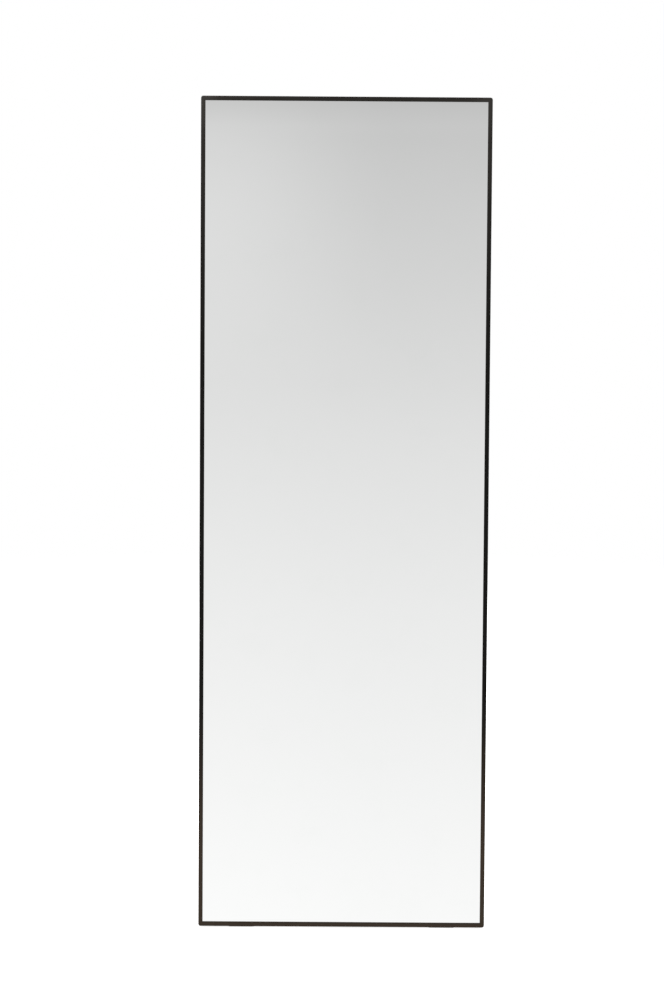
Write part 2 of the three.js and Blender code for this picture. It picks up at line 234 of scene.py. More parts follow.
def between(graph, factor, first, second):
    """A colour between two others. Each of them is a plain colour or another mix."""
    first, second = (c if isinstance(c, Value) else (*c, 1) for c in (first, second))
    sockets = {"Factor_Float": factor, "A_Color": first, "B_Color": second}
    return graph.node("ShaderNodeMix", {"data_type": "RGBA"}, sockets, out="Result_Color")


def stepped(graph, value, low, high):
    """0 below low, 1 above high, and a smooth rise between."""
    settings = {"interpolation_type": "SMOOTHSTEP"}
    sockets = {"Value": value, "From Min": low, "From Max": high}
    return graph.node("ShaderNodeMapRange", settings, sockets)


def bumped(graph, height, distance, strength):
    sockets = {"Height": height, "Distance": distance, "Strength": strength}
    return graph.node("ShaderNodeBump", None, sockets, out="Normal")


def new_finish(name):
    """An empty material and its node graph."""
    material = bpy.data.materials.new(name)
    return material, Graph(material)


def surfaced(graph, **sockets):
    """Ends a material's graph with a Principled surface. Socket names are written with underscores."""
    named = {key.replace("_", " "): value for key, value in sockets.items()}
    shader = graph.node("ShaderNodeBsdfPrincipled", None, named)
    graph.node("ShaderNodeOutputMaterial", None, {"Surface": shader})


GRAINS_IN_A_METRE = 1000
print("a noise of scale", GRAINS_IN_A_METRE, "has grains of", 1 / MM / GRAINS_IN_A_METRE, "mm")

# %% [markdown]
# ## The frame's finish
# The frame is extruded metal with a nearly black, slightly bronze satin coat. It could be a flat
# dark grey, but then the rails would look like paper strips. A metal with a very dark tint is
# nearer: it mirrors the pale room softly, and its tint gives the warm edge that the photograph
# shows. The die leaves faint lines along each rail, so the short and the long rails each get their
# own copy, with the lines turned along them. In the photograph the frame is darkest halfway up and
# lighter towards its foot and its upper corners, where lamps glance off it. Such lamps would also
# stand in the room that the glass shows, so here that sheen is painted into the coat's colour: a
# painted highlight makes the coat lighter towards both ends and its upper corners.

# %% Satin bronze-black metal
QUARTER = math.radians(90)
MIDDLE_TONE = Vector((0.0105, 0.0100, 0.0092))
# The tones at the top, the foot and the upper corners are a painted sheen: lighter where lamps would
# glance off the coat.
TOP_PAINTED_SHEEN = Vector((0.0320, 0.0290, 0.0258))
FOOT_PAINTED_SHEEN = Vector((0.0455, 0.0340, 0.0252))
CORNER_PAINTED_SHEEN = Vector((0.0490, 0.0455, 0.0410))
WORN = 1.28  # how much lighter the coat is where it is worn
GRAZING_TINT = (0.3, 0.3, 0.3, 1)  # a coat shines less than bare metal in a view along its face
SHEEN_TOWARDS_TOP = (1.15, 1.85)  # heights in metres between which the coat gets lighter
SHEEN_TOWARDS_FOOT = (0.53, 0.15)
SHEEN_TOWARDS_SIDE = (0.12, 0.30)  # metres from the middle of the mirror
SHEEN_MIDDLE_OF_TOP = 0.7  # the share of the top's tone in the middle of the top rail
CORNER_SHEEN_HEIGHT = (1.70, 1.84)
CORNER_SHEEN_SIDE = (0.26, 0.31)
DIE_LINES = 2600  # to the metre, so they are about 0.4 mm apart
DIE_LENGTH = 9  # to the metre, so they are about 11 cm long


def frame_metal(name, turn):
    """Extruded metal whose die lines run along a rail turned by an angle, with a painted sheen at its
    ends.
    """
    material, graph = new_finish(name)
    where = place_on_piece(graph)
    lines = noise(graph, place_on_piece(graph, turn, (DIE_LENGTH, DIE_LINES, DIE_LINES)), 1, detail=4)
    grain = noise(graph, where, 5200, detail=2)
    patches = stepped(graph, noise(graph, where, 14, detail=4), 0.4, 0.75)
    worn = patches * 0.6 + lines * 0.3
    middle, top, foot, corner = (
        between(graph, worn, tone, tone * WORN)
        for tone in (MIDDLE_TONE, TOP_PAINTED_SHEEN, FOOT_PAINTED_SHEEN, CORNER_PAINTED_SHEEN)
    )
    # painted sheen: the coat's colour gets lighter towards the top, the foot and the upper corners
    height = part_of(graph, where, "Z")
    aside = graph.node("ShaderNodeMath", {"operation": "ABSOLUTE"}, {0: part_of(graph, where, "X")})
    sheen_sideways = SHEEN_MIDDLE_OF_TOP + (1 - SHEEN_MIDDLE_OF_TOP) * stepped(graph, aside, *SHEEN_TOWARDS_SIDE)
    painted_top_sheen = stepped(graph, height, *SHEEN_TOWARDS_TOP) * sheen_sideways
    painted_corner_sheen = stepped(graph, height, *CORNER_SHEEN_HEIGHT) * stepped(graph, aside, *CORNER_SHEEN_SIDE)
    coat_with_sheen = between(graph, stepped(graph, height, *SHEEN_TOWARDS_FOOT), middle, foot)
    coat_with_sheen = between(graph, painted_top_sheen, coat_with_sheen, top)
    surfaced(
        graph,
        Base_Color=between(graph, painted_corner_sheen, coat_with_sheen, corner),
        Metallic=0.92,
        Specular_Tint=GRAZING_TINT,
        Roughness=0.34 + 0.1 * lines + 0.06 * patches,
        Normal=bumped(graph, lines * 0.6 + grain * 0.4, 0.00002, 0.35),
    )
    return material


metal_across = frame_metal("frame_metal_across", 0)
metal_upright = frame_metal("frame_metal_upright", QUARTER)
print("made", metal_across.name, "and", metal_upright.name)

# %% [markdown]
# ## The glass
# A mirror's glass has three surfaces: the silvered face, the ground edge, and the grey paint that
# protects the silver at the back. The face could be clear glass in front of a mirror, which doubles
# the render time for a difference that nobody sees. A polished metal of the silver's own tone does
# the same work. Very faint, wide waves keep its reflections from looking computed.

# %% Silver, ground edge and backing paint
SILVER = ((0.925, 0.93, 0.925), (0.915, 0.922, 0.915))  # clear, and under a faint film
EDGE_GREEN = ((0.16, 0.24, 0.20), (0.30, 0.40, 0.35))
PAINT_GREY = ((0.10, 0.105, 0.11), (0.135, 0.14, 0.145))


def silvered_glass():
    material, graph = new_finish("polished_silver")
    where = place_on_piece(graph)
    film = stepped(graph, noise(graph, where, 9, detail=5, roughness=0.6), 0.45, 0.8)
    surfaced(
        graph,
        Base_Color=between(graph, film, *SILVER),
        Metallic=1.0,
        Roughness=0.006 + 0.01 * film,
        Normal=bumped(graph, noise(graph, where, 2.2, detail=1), 0.00012, 0.5),
    )
    return material


def ground_edge():
    material, graph = new_finish("ground_glass_edge")
    where = place_on_piece(graph)
    grit = noise(graph, where, 3800)
    surfaced(
        graph,
        Base_Color=between(graph, grit, *EDGE_GREEN),
        Roughness=0.42 + 0.2 * grit,
        Normal=bumped(graph, grit, 0.00003, 0.6),
    )
    return material


def backing_paint():
    material, graph = new_finish("mirror_backing_paint")
    where = place_on_piece(graph)
    peel = noise(graph, where, 420, detail=2)
    surfaced(
        graph,
        Base_Color=between(graph, peel, *PAINT_GREY),
        Roughness=0.5 + 0.15 * peel,
        Normal=bumped(graph, peel, 0.00004, 0.5),
    )
    return material


glass_finishes = [silvered_glass(), ground_edge(), backing_paint()]
print("the glass has", ", ".join(finish.name for finish in glass_finishes))

# %% [markdown]
# ## The finishes behind the face
# Hardboard is pulp pressed into a sheet. Its fibres lie every way, some of them pale, and the pulp
# is darker where resin gathered. One stretched noise would look like combed hair, so three of them
# lie at different turns. Rubber and foam are black and dull, and differ in their skin: rubber is
# finely pebbled and foam is a field of cells. The steel pieces share one function, because zinc,
# nickel and blued steel differ only in tint, in gloss and in how strong their mottling is.

# %% Hardboard
RESIN_BROWN = (0.064, 0.031, 0.015)
PULP_BROWN = (0.196, 0.103, 0.050)
PALE_FIBRE = (0.330, 0.205, 0.112)
FIBRE_TURNS = (14, 72, 131)
FIBRES = (190, 1300, 1300)  # to the metre, along and across: 5 mm long and under 1 mm thick


def hardboard():
    material, graph = new_finish("pressed_hardboard")
    where = place_on_piece(graph)
    turned = [place_on_piece(graph, math.radians(degrees), FIBRES) for degrees in FIBRE_TURNS]
    felt = sum(noise(graph, place, 1, detail=4) for place in turned) * (1 / len(turned))
    pale = sum(stepped(graph, noise(graph, place, 0.7, detail=2), 0.66, 0.74) for place in turned)
    clouds = noise(graph, where, 8, detail=6, roughness=0.62)
    resin = stepped(graph, noise(graph, where, 130, detail=4, roughness=0.6), 0.57, 0.72)
    pulp = stepped(graph, felt + clouds * 0.25 - resin * 0.15, 0.41, 0.81)
    brown = between(graph, pulp, RESIN_BROWN, PULP_BROWN)
    surfaced(
        graph,
        Base_Color=between(graph, pale * 0.3, brown, PALE_FIBRE),
        Roughness=0.6 + 0.2 * felt - 0.1 * resin,
        Specular_IOR_Level=0.35,
        Normal=bumped(graph, felt * 0.7 + pale * 0.2, 0.00008, 0.6),
    )
    return material


board_finish = hardboard()
print("made", board_finish.name)


# %% Rubber and foam
RUBBER_BLACK = ((0.0095, 0.0095, 0.0095), (0.021, 0.0205, 0.020))
FOAM_BLACK = ((0.006, 0.006, 0.006), (0.022, 0.022, 0.022))


def rubber():
    material, graph = new_finish("pebbled_rubber")
    where = place_on_piece(graph)
    pebbles = noise(graph, where, 2400)
    bloom = stepped(graph, noise(graph, where, 60, detail=4), 0.45, 0.8)
    surfaced(
        graph,
        Base_Color=between(graph, bloom, *RUBBER_BLACK),
        Roughness=0.62 + 0.16 * bloom,
        Normal=bumped(graph, pebbles, 0.00004, 0.7),
    )
    return material


def foam():
    material, graph = new_finish("closed_cell_foam")
    where = place_on_piece(graph)
    cells = graph.node("ShaderNodeTexVoronoi", None, {"Vector": where, "Scale": 2600}, out="Distance")
    surfaced(
        graph,
        Base_Color=between(graph, cells, *FOAM_BLACK),
        Roughness=0.95 - 0.1 * cells,
        Normal=bumped(graph, cells, 0.0001, 0.8),
    )
    return material


rubber_finish = rubber()
foam_finish = foam()
print("made", rubber_finish.name, "and", foam_finish.name)


# %% Steel in three coats
ROLLED_GRAIN = (4200, 900, 900)


def steel(name, slot, dark, light, gloss, mottle):
    """Plated or blued steel. gloss is its roughness, and mottle is how far that varies."""
    material, graph = new_finish(name)
    where = place_on_piece(graph)
    spangle = noise(graph, where, 240, detail=5, roughness=0.65)
    grain = noise(graph, place_on_piece(graph, 0, ROLLED_GRAIN), 1, detail=2)
    surfaced(
        graph,
        Base_Color=between(graph, spangle, dark, light),
        Metallic=1.0,
        Roughness=gloss + mottle * spangle,
        Normal=bumped(graph, grain * 0.6 + spangle * 0.4, 0.00002, 0.3),
    )
    return material


ZINC = ((0.46, 0.47, 0.47), (0.66, 0.67, 0.68))
NICKEL = ((0.58, 0.55, 0.50), (0.69, 0.66, 0.61))
BLUED = ((0.10, 0.11, 0.13), (0.22, 0.23, 0.25))

zinc_finish = steel("bright_zinc", "zinc_plate", *ZINC, gloss=0.24, mottle=0.22)
nickel_finish = steel("bright_nickel", "nickel_wire", *NICKEL, gloss=0.12, mottle=0.12)
spring_finish = steel("blued_steel", "spring_steel", *BLUED, gloss=0.24, mottle=0.2)
print("made", zinc_finish.name, nickel_finish.name, spring_finish.name)

# %% [markdown]
# ## Tools of the bench
# A solid piece starts as a flat outline or a block. It is pulled into depth, cut with planes, and
# its edges are eased. Real metal has no perfectly sharp edge: the small bevel catches a line of
# light, and it is the main difference between a model and a made thing.


# %% Pulling, cutting and easing
ON_PLANE = 1e-5  # millimetres within which a point counts as lying on a cut
WELD = 1e-4  # millimetres within which two points count as one
SHARP = math.radians(35)


def measure_trial(name, bm):
    """Prints what a trial piece measures, and throws the piece away."""
    cubic_mm = bm.calc_volume()
    print(f"{name}: {len(bm.faces)} faces, {cubic_mm:.0f} mm3")
    bm.free()


def only(kind, parts):
    """The verts, edges or faces among the parts that an operator made."""
    return [part for part in parts if isinstance(part, kind)]


def face_outwards(bm):
    bmesh.ops.recalc_face_normals(bm, faces=bm.faces[:])
    return bm


def outline(points):
    """A flat face across X, from (height, depth) points."""
    bm = bmesh.new()
    bm.faces.new([bm.verts.new((0, depth, height)) for height, depth in points])
    return bm


def pull(bm, by):
    """Turns the flat faces into a solid as deep as the vector."""
    grown = bmesh.ops.extrude_face_region(bm, geom=bm.faces[:])["geom"]
    bmesh.ops.translate(bm, verts=only(bmesh.types.BMVert, grown), vec=by)
    return face_outwards(bm)


def with_rim(faces):
    """Faces with their edges. Extruding both takes the old faces away, so no wall stays inside."""
    return faces + list(dict.fromkeys(edge for face in faces for edge in face.edges))


def saw(bm, point, normal, near=ON_PLANE, clear=True):
    """Cuts along a plane, clears what lies beyond it, and returns what lies on the cut."""
    parts = bm.verts[:] + bm.edges[:] + bm.faces[:]
    made = bmesh.ops.bisect_plane(
        bm, geom=parts, dist=near, plane_co=point, plane_no=normal, clear_outer=clear
    )
    return made["geom_cut"]


def slice_off(bm, point, normal):
    """Cuts away what lies beyond a plane and closes the cut."""
    rim = only(bmesh.types.BMEdge, saw(bm, point, normal))
    bmesh.ops.edgeloop_fill(bm, edges=[edge for edge in rim if edge.is_boundary])


def lathe(bm, profile, sides):
    """Spins a line of (radius, depth) points once round the Y axis."""
    points = [bm.verts.new((radius, depth, 0)) for radius, depth in profile]
    line = [bm.edges.new(pair) for pair in zip(points, points[1:])]
    bmesh.ops.spin(
        bm,
        geom=points + line,
        cent=(0, 0, 0),
        axis=(0, 1, 0),
        angle=2 * math.pi,
        steps=sides,
        use_merge=True,
    )
    bmesh.ops.remove_doubles(bm, verts=bm.verts[:], dist=WELD)


def sharp_edges(bm, keep=lambda edge: True, angle=SHARP):
    """The edges whose two faces meet at more than an angle, and that pass a test."""
    folds = [edge for edge in bm.edges if len(edge.link_faces) == 2]
    return [edge for edge in folds if edge.calc_face_angle(0) > angle and keep(edge)]


def ease(bm, edges, size, segments=2):
    """Rounds edges to a radius of about size."""
    bmesh.ops.bevel(
        bm,
        geom=edges,
        offset=size,
        offset_type="OFFSET",
        segments=segments,
        profile=0.5,
        affect="EDGES",
        clamp_overlap=True,
        material=-1,
    )
    return bm


def block(low, high):
    """A box between two corners."""
    bm = bmesh.new()
    low, high = Vector(low), Vector(high)
    size = Matrix.Diagonal((*(high - low), 1))
    bmesh.ops.create_cube(bm, size=1, matrix=Matrix.Translation((low + high) / 2) @ size)
    return bm


cube = block((0, 0, 0), (10, 10, 10))
ease(cube, cube.edges[:], 1)
measure_trial("a 10 mm cube with edges eased by 1 mm", cube)


# %% Putting a finished piece in its place
SMOOTH_BELOW = math.radians(32)


def hand_over(bm, name, node, finishes, where=Matrix.Identity(4)):
    """Leans the piece, gives it its finishes, and lets it stand for its packed node."""
    bm.transform(LEANING @ where)
    mesh = bpy.data.meshes.new(name)
    bm.to_mesh(mesh)
    bm.free()
    for finish in finishes:
        mesh.materials.append(finish)
    mesh.shade_smooth()
    mesh.set_sharp_from_angle(angle=SMOOTH_BELOW)
    piece = bpy.data.objects.new(name, mesh)
    bpy.context.scene.collection.objects.link(piece)
    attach(piece, frame["nodes"][node]["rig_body"])
    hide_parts(node)
    return piece


print("smooth shading below", round(math.degrees(SMOOTH_BELOW)), "degrees")

# %% [markdown]
# ## The rails
# All four rails are one extruded section, cut at 45 degrees. One could draw the frame as a
# rectangle and thicken it, but then the lip, the deep outer wall and the slotted channel behind
# would be missing. So the section is drawn once, pulled to a rail's length, and mitred with a
# plane at each end. A few more planes round the frame's outer corner, as a file would.

# %% The section
GAP = 0.25  # between pieces that touch
FACE = 9.5  # width of the frame as it shows from the front
LIP = 1.6  # thickness of the lip in front of the glass
SLOT = 7.0  # opening of the channel towards the back
CHANNEL_DEPTH = 5.4
REACH = on_bench("bottom_rail")[1].z
WALL = on_bench("bottom_left_corner_plate")[0].x + WIDTH / 2 - GAP
CHANNEL_FRONT = DEPTH - CHANNEL_DEPTH - 2 * WALL
CHANNEL_FLOOR = CHANNEL_FRONT + WALL
REAR_LIP = (REACH - SLOT) / 2

RAIL_SECTION = [
    (0, 0),
    (FACE, 0),
    (FACE, LIP),
    (WALL, LIP),
    (WALL, CHANNEL_FRONT),
    (REACH, CHANNEL_FRONT),
    (REACH, DEPTH),
    (REACH - REAR_LIP, DEPTH),
    (REACH - REAR_LIP, DEPTH - WALL),
    (REACH - WALL, DEPTH - WALL),
    (REACH - WALL, CHANNEL_FLOOR),
    (WALL, CHANNEL_FLOOR),
    (WALL, DEPTH - WALL),
    (REAR_LIP, DEPTH - WALL),
    (REAR_LIP, DEPTH),
    (0, DEPTH),
]
print(f"the section has {len(RAIL_SECTION)} corners and walls of {WALL:.2f} mm")

# %% A mitred length of any section
MITRE_GAP = 0.04  # from the mitre's plane to each rail, so the joint shows as a hairline
CORNER_RADIUS = 5.0
CORNER_CUTS = 6
OUTER_EDGE = 0.5
INNER_EDGE = 0.18


def mitred(section, length):
    """A length of a section, centred on x = 0, with both ends cut at 45 degrees."""
    bm = outline(section)
    pull(bm, (length, 0, 0))
    bmesh.ops.translate(bm, verts=bm.verts[:], vec=(-length / 2, 0, 0))
    for end in (-1, 1):
        slice_off(bm, (end * (length / 2 - MITRE_GAP), 0, 0), (end, 0, 1))
    return bm


def round_frame_corner(bm, length):
    """Rounds the outer corner at both ends, with planes along half of a quarter circle."""
    for end in (-1, 1):
        centre = Vector((end * (length / 2 - CORNER_RADIUS), 0, CORNER_RADIUS))
        for cut in range(CORNER_CUTS):
            angle = QUARTER / 2 * (cut + 0.5) / CORNER_CUTS
            outward = Vector((end * math.sin(angle), 0, -math.cos(angle)))
            slice_off(bm, centre + outward * CORNER_RADIUS, outward)


def is_outer_edge(edge):
    """True between the outer wall and the front or back face."""
    normals = [face.normal for face in edge.link_faces]
    return any(abs(n.y) > 0.9 for n in normals) and any(n.z < -0.6 for n in normals)


def is_long_edge(edge):
    along = edge.verts[1].co - edge.verts[0].co
    return abs(along.normalized().x) > 0.99


def rail(length):
    bm = mitred(RAIL_SECTION, length)
    round_frame_corner(bm, length)
    ease(bm, sharp_edges(bm, is_outer_edge), OUTER_EDGE, 3)
    return ease(bm, sharp_edges(bm, is_long_edge, math.radians(60)), INNER_EDGE)


measure_trial("a short rail", rail(WIDTH))


# %% Four rails, and the tape behind their lip
TAPE = 0.8
TAPE_WIDTH = 4.0
TAPE_FRONT = LIP + GAP
TAPE_SECTION = [
    (FACE - GAP - TAPE_WIDTH, TAPE_FRONT),
    (FACE - GAP, TAPE_FRONT),
    (FACE - GAP, TAPE_FRONT + TAPE),
    (FACE - GAP - TAPE_WIDTH, TAPE_FRONT + TAPE),
]
SIDE_PLACES = {
    "bottom": (WIDTH, (0, 0), 0),
    "right": (HEIGHT, (WIDTH / 2, HEIGHT / 2), -QUARTER),
    "top": (WIDTH, (0, HEIGHT), 2 * QUARTER),
    "left": (HEIGHT, (-WIDTH / 2, HEIGHT / 2), QUARTER),
}


def turned(x, z, turn):
    """The matrix that turns a piece made for the bottom rail to another side of the frame."""
    return Matrix.Translation((x, 0, z)) @ Matrix.Rotation(turn, 4, "Y")


for side, (length, (x, z), turn) in SIDE_PLACES.items():
    finish = metal_across if length == WIDTH else metal_upright
    place = turned(x, z, turn)
    piece = hand_over(rail(length), f"{side}_rail_extrusion", f"{side}_rail", [finish], place)
    hand_over(mitred(TAPE_SECTION, length), f"{side}_tape_strip", f"{side}_tape", [foam_finish], place)
    print(piece.name, len(piece.data.polygons), "faces")

# %% [markdown]
# ## The glass and the board
# Both are blocks. The glass has its edges ground to a narrow seam, so that it can be handled, and
# its faces get their surfaces by the way they point. It stands on two rubber blocks, because glass
# on metal would chip.

# %% Glass
GLASS_SEAM = 0.4
SILVER_FACE, EDGE_FACE, PAINT_FACE = 0, 1, 2

glass = block(*on_bench("mirror_glass"))
ease(glass, glass.edges[:], GLASS_SEAM, 1)
for face in glass.faces:
    if face.normal.y < -0.9:
        face.material_index = SILVER_FACE
    elif face.normal.y > 0.9:
        face.material_index = PAINT_FACE
    else:
        face.material_index = EDGE_FACE
hand_over(glass, "mirror_glass_pane", "mirror_glass", glass_finishes)
print("the glass is a pane with", GLASS_SEAM, "mm seams")

# %% Board and setting blocks
BOARD_EDGE = 0.35
RUBBER_EDGE = 0.3

board = block(*on_bench("backing_board"))
ease(board, board.edges[:], BOARD_EDGE)
print("the board has", len(board.faces), "faces")
hand_over(board, "hardboard_back", "backing_board", [board_finish])
for side in ("left", "right"):
    support = block(*on_bench(f"{side}_setting_block"))
    ease(support, support.edges[:], RUBBER_EDGE)
    hand_over(support, f"{side}_glass_support", f"{side}_setting_block", [rubber_finish])

# %% [markdown]
# ## The springs
# A bowed strip of steel sits between the board and the channel and presses the glass to the lip.
# A bow could be a bent block. Spinning a small rectangle about the bow's centre gives the true arc
# and an even thickness.

# %% Leaf springs
SPRING_STEEL = 0.6
SPRING_STEPS = 28
SPRING_EDGE = 0.12


def leaf_spring(low, high):
    """A bowed strip that fills the box between two corners and lies along X."""
    rise = (high.y - low.y) - SPRING_STEEL
    half_chord = (high.x - low.x) / 2
    radius = (half_chord**2 + rise**2) / (2 * rise)
    spread = math.asin(half_chord / (radius + SPRING_STEEL))
    centre = Vector(((low.x + high.x) / 2, high.y - SPRING_STEEL - radius, 0))
    bm = bmesh.new()
    corners = [
        (radius, low.z),
        (radius + SPRING_STEEL, low.z),
        (radius + SPRING_STEEL, high.z),
        (radius, high.z),
    ]
    bm.faces.new([bm.verts.new((centre.x, centre.y + reach, height)) for reach, height in corners])
    start = Matrix.Rotation(-spread, 3, "Z")
    bmesh.ops.rotate(bm, verts=bm.verts[:], cent=centre, matrix=start)
    bmesh.ops.spin(
        bm, geom=bm.faces[:], cent=centre, axis=(0, 0, 1), angle=2 * spread, steps=SPRING_STEPS
    )
    face_outwards(bm)
    return ease(bm, sharp_edges(bm), SPRING_EDGE, 1)


def unturned_box(node, place):
    """A packed piece's corners as they were before its side of the frame was turned."""
    back = place.inverted()
    a, b = (back @ corner for corner in on_bench(node))
    return Vector(map(min, a, b)), Vector(map(max, a, b))


for side, (length, (x, z), turn) in SIDE_PLACES.items():
    place = turned(x, z, turn)
    names = sorted(n for n in frame["nodes"] if n.startswith(f"{side}_spring_"))
    for name in names:
        low, high = unturned_box(name, place)
        hand_over(leaf_spring(low, high), f"{name}_leaf", name, [spring_finish], place)
    print(side, "has", len(names), "springs")

# %% [markdown]
# ## Corner plates
# At each corner an L-shaped plate lies in the channels of two rails, over a thinner spring plate.
# Two screws in the upper plate push on the lower one, and wedge both in the channel. The plates are
# stamped from sheet, so each is a flat outline with its holes, filled and pulled to its thickness.
# Filling the outline and the holes in one step leaves the holes open.

# %% Stamped plates
HOLE_SIDES = 40
SCREW_RADIUS = 2.0
PLATE_CHAMFER = 3.0
STAMPED_EDGE = 0.16


def arc(centre, radius, start, end, steps):
    """Points on an arc, in degrees, from start to end."""
    angles = [math.radians(start + (end - start) * step / steps) for step in range(steps + 1)]
    return [(centre[0] + radius * math.cos(a), centre[1] + radius * math.sin(a)) for a in angles]


def flat_circle(bm, centre, radius, sides):
    """Draws a circle that faces along the depth, and returns its points."""
    where = Matrix.Translation(centre) @ Matrix.Rotation(QUARTER, 4, "X")
    made = bmesh.ops.create_circle(bm, cap_ends=False, segments=sides, radius=radius, matrix=where)
    return made["verts"]


def stamped(points, holes, front, back):
    """A flat plate with an outline of (x, z) points and round holes, between two depths."""
    bm = bmesh.new()
    corners = [bm.verts.new((x, front, z)) for x, z in points]
    for pair in zip(corners, corners[1:] + corners[:1]):
        bm.edges.new(pair)
    for x, z in holes:
        flat_circle(bm, (x, front, z), SCREW_RADIUS + GAP, HOLE_SIDES)
    bmesh.ops.triangle_fill(bm, use_beauty=True, use_dissolve=False, edges=bm.edges[:])
    return pull(bm, (0, back - front, 0))


def corner_plate(low, high, width, holes):
    """An L-shaped plate whose legs start at the corner low."""
    points = [
        (low.x + PLATE_CHAMFER, low.z),
        (high.x, low.z),
        (high.x, low.z + width),
        (low.x + width, low.z + width),
        (low.x + width, high.z),
        (low.x, high.z),
        (low.x, low.z + PLATE_CHAMFER),
    ]
    bm = stamped(points, holes, low.y, high.y)
    return ease(bm, sharp_edges(bm), STAMPED_EDGE, 1)


washer = stamped(arc((0, 0), 10, 0, 360, 60)[:-1], [(0, 0)], 0, 2)
measure_trial("a washer stamped for trial", washer)

# %% [markdown]
# ## Screws
# A screw could be a plain cylinder, and from two metres away nobody would see it. Close by, the
# thread makes it a screw. Spinning a short zigzag while it climbs one pitch for each turn gives the
# true helix. Two flat cuts then trim the rod to its length, and the end gets a hexagon socket.

# %% A threaded rod with a socket
PITCH = 0.7
THREAD_DEPTH = 0.4
THREAD_STEPS = 24
THREAD_PROFILE = [(0, 0.0), (1, 0.38), (1, 0.52), (0, 0.9), (0, 1.0)]  # shares of depth and pitch
THREAD_WELD = 1e-3  # where one turn meets the next
TIP_LENGTH = 0.35
TIP_TAPER = 0.75


def joined_edges(verts):
    return list(dict.fromkeys(edge for vert in verts for edge in vert.link_edges))


def edges_at(bm, depth):
    """The open edges that lie at one depth."""
    at_depth = [e for e in bm.edges if all(abs(v.co.y - depth) < WELD for v in e.verts)]
    return [e for e in at_depth if e.is_boundary or e.is_wire]


def threaded_rod(radius, front, back):
    """A threaded rod about the Y axis, open at both ends."""
    bm = bmesh.new()
    start = front - PITCH
    root = radius - THREAD_DEPTH
    points = [(root + THREAD_DEPTH * out, start + PITCH * up, 0) for out, up in THREAD_PROFILE]
    profile = [bm.verts.new(point) for point in points]
    for pair in zip(profile, profile[1:]):
        bm.edges.new(pair)
    turns = math.ceil((back - start) / PITCH) + 1
    bmesh.ops.spin(
        bm,
        geom=bm.verts[:] + bm.edges[:],
        cent=(0, 0, 0),
        axis=(0, 1, 0),
        dvec=(0, PITCH / THREAD_STEPS, 0),
        angle=2 * math.pi * turns,
        steps=THREAD_STEPS * turns,
    )
    bmesh.ops.remove_doubles(bm, verts=bm.verts[:], dist=THREAD_WELD)
    for depth, outward in ((front, -1), (back, 1)):
        saw(bm, (0, depth, 0), (0, outward, 0), near=WELD)
    return bm


def close_with_socket(bm, depth, across, deep):
    """Closes the open rim at one depth with a flat face that has a hexagon socket in it."""
    rim = edges_at(bm, depth)
    hexagon = joined_edges(flat_circle(bm, (0, depth, 0), across / math.sqrt(3), 6))
    bmesh.ops.triangle_fill(bm, use_beauty=True, use_dissolve=False, edges=rim + hexagon)
    walls = bmesh.ops.extrude_edge_only(bm, edges=hexagon)["geom"]
    bmesh.ops.translate(bm, verts=only(bmesh.types.BMVert, walls), vec=(0, -deep, 0))
    bmesh.ops.edgeloop_fill(bm, edges=edges_at(bm, depth - deep))


def close_with_tip(bm, depth):
    """Closes the open rim at one depth with a short blunt cone."""
    cone = bmesh.ops.extrude_edge_only(bm, edges=edges_at(bm, depth))["geom"]
    tip = only(bmesh.types.BMVert, cone)
    bmesh.ops.translate(bm, verts=tip, vec=(0, -TIP_LENGTH, 0))
    bmesh.ops.scale(bm, verts=tip, vec=(TIP_TAPER, 1, TIP_TAPER))
    bmesh.ops.edgeloop_fill(bm, edges=edges_at(bm, depth - TIP_LENGTH))


measure_trial("an open thread of 5 mm", threaded_rod(SCREW_RADIUS, 0, 5))


# %% A set screw
SET_SCREW_KEY = 2.0  # across the flats of the hexagon
SET_SCREW_SOCKET = 1.9


def set_screw(front, back):
    """A headless screw between two depths."""
    bm = threaded_rod(SCREW_RADIUS, front + TIP_LENGTH, back)
    close_with_tip(bm, front + TIP_LENGTH)
    close_with_socket(bm, back, SET_SCREW_KEY, SET_SCREW_SOCKET)
    return face_outwards(bm)


measure_trial("a set screw", set_screw(0, 4.4))


# %% The four corners
PLATE_WIDTH = 17.5  # of each leg of the L
SCREW_ALONG = 42.0  # from the frame's corner to each screw
SLOT_CENTRE = REACH / 2
CORNER_PLACES = {
    "bottom_left": (-WIDTH / 2, 0, 0),
    "bottom_right": (WIDTH / 2, 0, -QUARTER),
    "top_right": (WIDTH / 2, HEIGHT, 2 * QUARTER),
    "top_left": (-WIDTH / 2, HEIGHT, QUARTER),
}
SCREW_PLACES = [(SCREW_ALONG, SLOT_CENTRE), (SLOT_CENTRE, SCREW_ALONG)]

for corner, (x, z, turn) in CORNER_PLACES.items():
    place = turned(x, z, turn)
    node = f"{corner}_corner_plate"
    low, high = unturned_box(node, place)
    plate = corner_plate(low, high, PLATE_WIDTH, SCREW_PLACES)
    hand_over(plate, f"{corner}_threaded_plate", node, [zinc_finish], place)
    node = f"{corner}_pressure_plate"
    low, high = unturned_box(node, place)
    plate = corner_plate(low, high, PLATE_WIDTH, [])
    hand_over(plate, f"{corner}_spring_plate", node, [spring_finish], place)
    for number, (along, up) in enumerate(SCREW_PLACES, start=1):
        node = f"{corner}_set_screw_{number}"
        low, high = unturned_box(node, place)
        screw = set_screw(low.y, high.y)
        at = place @ Matrix.Translation((along, 0, up))
        piece = hand_over(screw, f"{corner}_grub_screw_{number}", node, [zinc_finish], at)
    print(corner, "has two plates and two screws of", len(piece.data.polygons), "faces")

# %% [markdown]
# ## The hangers
# On each side a strap is screwed to a nut plate in the channel. Its end is rolled into an eye, and
# a wire ring swings in the eye. The strap is made as a press would make it: a flat blank with a
# round end and two holes, whose top face is then spun round the eye's centre. The ring is made as
# on a wire bender: the wire is fed straight four times, with a bend after each of the first three.

